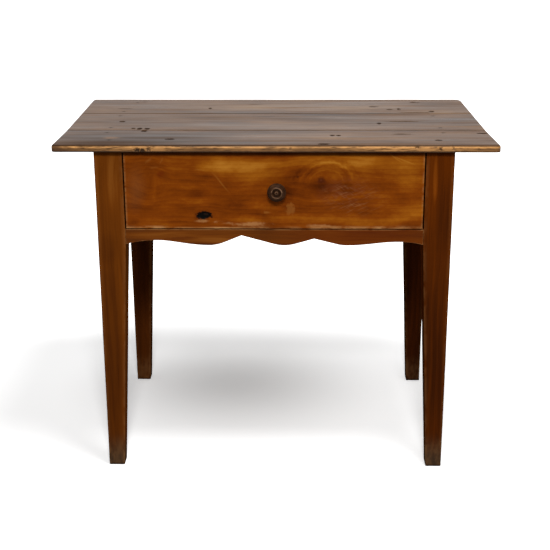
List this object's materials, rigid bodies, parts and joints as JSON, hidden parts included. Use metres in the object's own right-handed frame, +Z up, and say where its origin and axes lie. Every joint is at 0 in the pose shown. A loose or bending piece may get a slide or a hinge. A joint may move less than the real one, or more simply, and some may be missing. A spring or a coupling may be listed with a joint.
{
  "type": "tavern table",
  "caption": "Small wooden tavern table with tapered square legs, a plank top, a scalloped front rail and a deep dovetailed drawer with a turned knob.",
  "frame": {"origin": "on the floor, under the middle of the top", "axes": "+X to the right along the top's length, -Y towards the drawer's side, +Z up"},
  "size_m": [0.9395, 0.5759, 0.75],
  "materials": {
    "top_wood": "worn greyish brown satin",
    "frame_wood": "dark brown oil stain",
    "drawer_front_wood": "warm orange brown satin",
    "knob_wood": "dark polished brown",
    "peg_wood": "dark end grain",
    "inner_wood": "unfinished aged softwood",
    "nail_iron": "dark rusted iron"
  },
  "bodies": {
    "table": {"top_front_board": "top_wood", "top_middle_board": "top_wood", "top_back_board": "top_wood", "front_left_leg": "frame_wood", "front_right_leg": "frame_wood", "back_left_leg": "frame_wood", "back_right_leg": "frame_wood", "left_apron": "frame_wood", "right_apron": "frame_wood", "back_apron": "frame_wood", "front_rail": "frame_wood", "left_apron_pegs": "peg_wood", "right_apron_pegs": "peg_wood", "back_apron_pegs": "peg_wood", "left_runner": "inner_wood", "right_runner": "inner_wood", "left_guide": "inner_wood", "right_guide": "inner_wood", "drawer_stops": "inner_wood", "top_nails": "nail_iron", "guide_nails": "nail_iron"},
    "drawer": {"drawer_front": "drawer_front_wood", "drawer_knob": "knob_wood", "knob_wedge": "inner_wood", "drawer_left_side": "inner_wood", "drawer_right_side": "inner_wood", "drawer_back": "inner_wood", "drawer_bottom_front": "inner_wood", "drawer_bottom_rear": "inner_wood", "drawer_bottom_nails": "nail_iron"}
  },
  "joints": [
    {"name": "drawer_slide", "type": "slide", "parent": "table", "child": "drawer", "axis": [0, -1, 0], "range_m": [0, 0.36]}
  ]
}
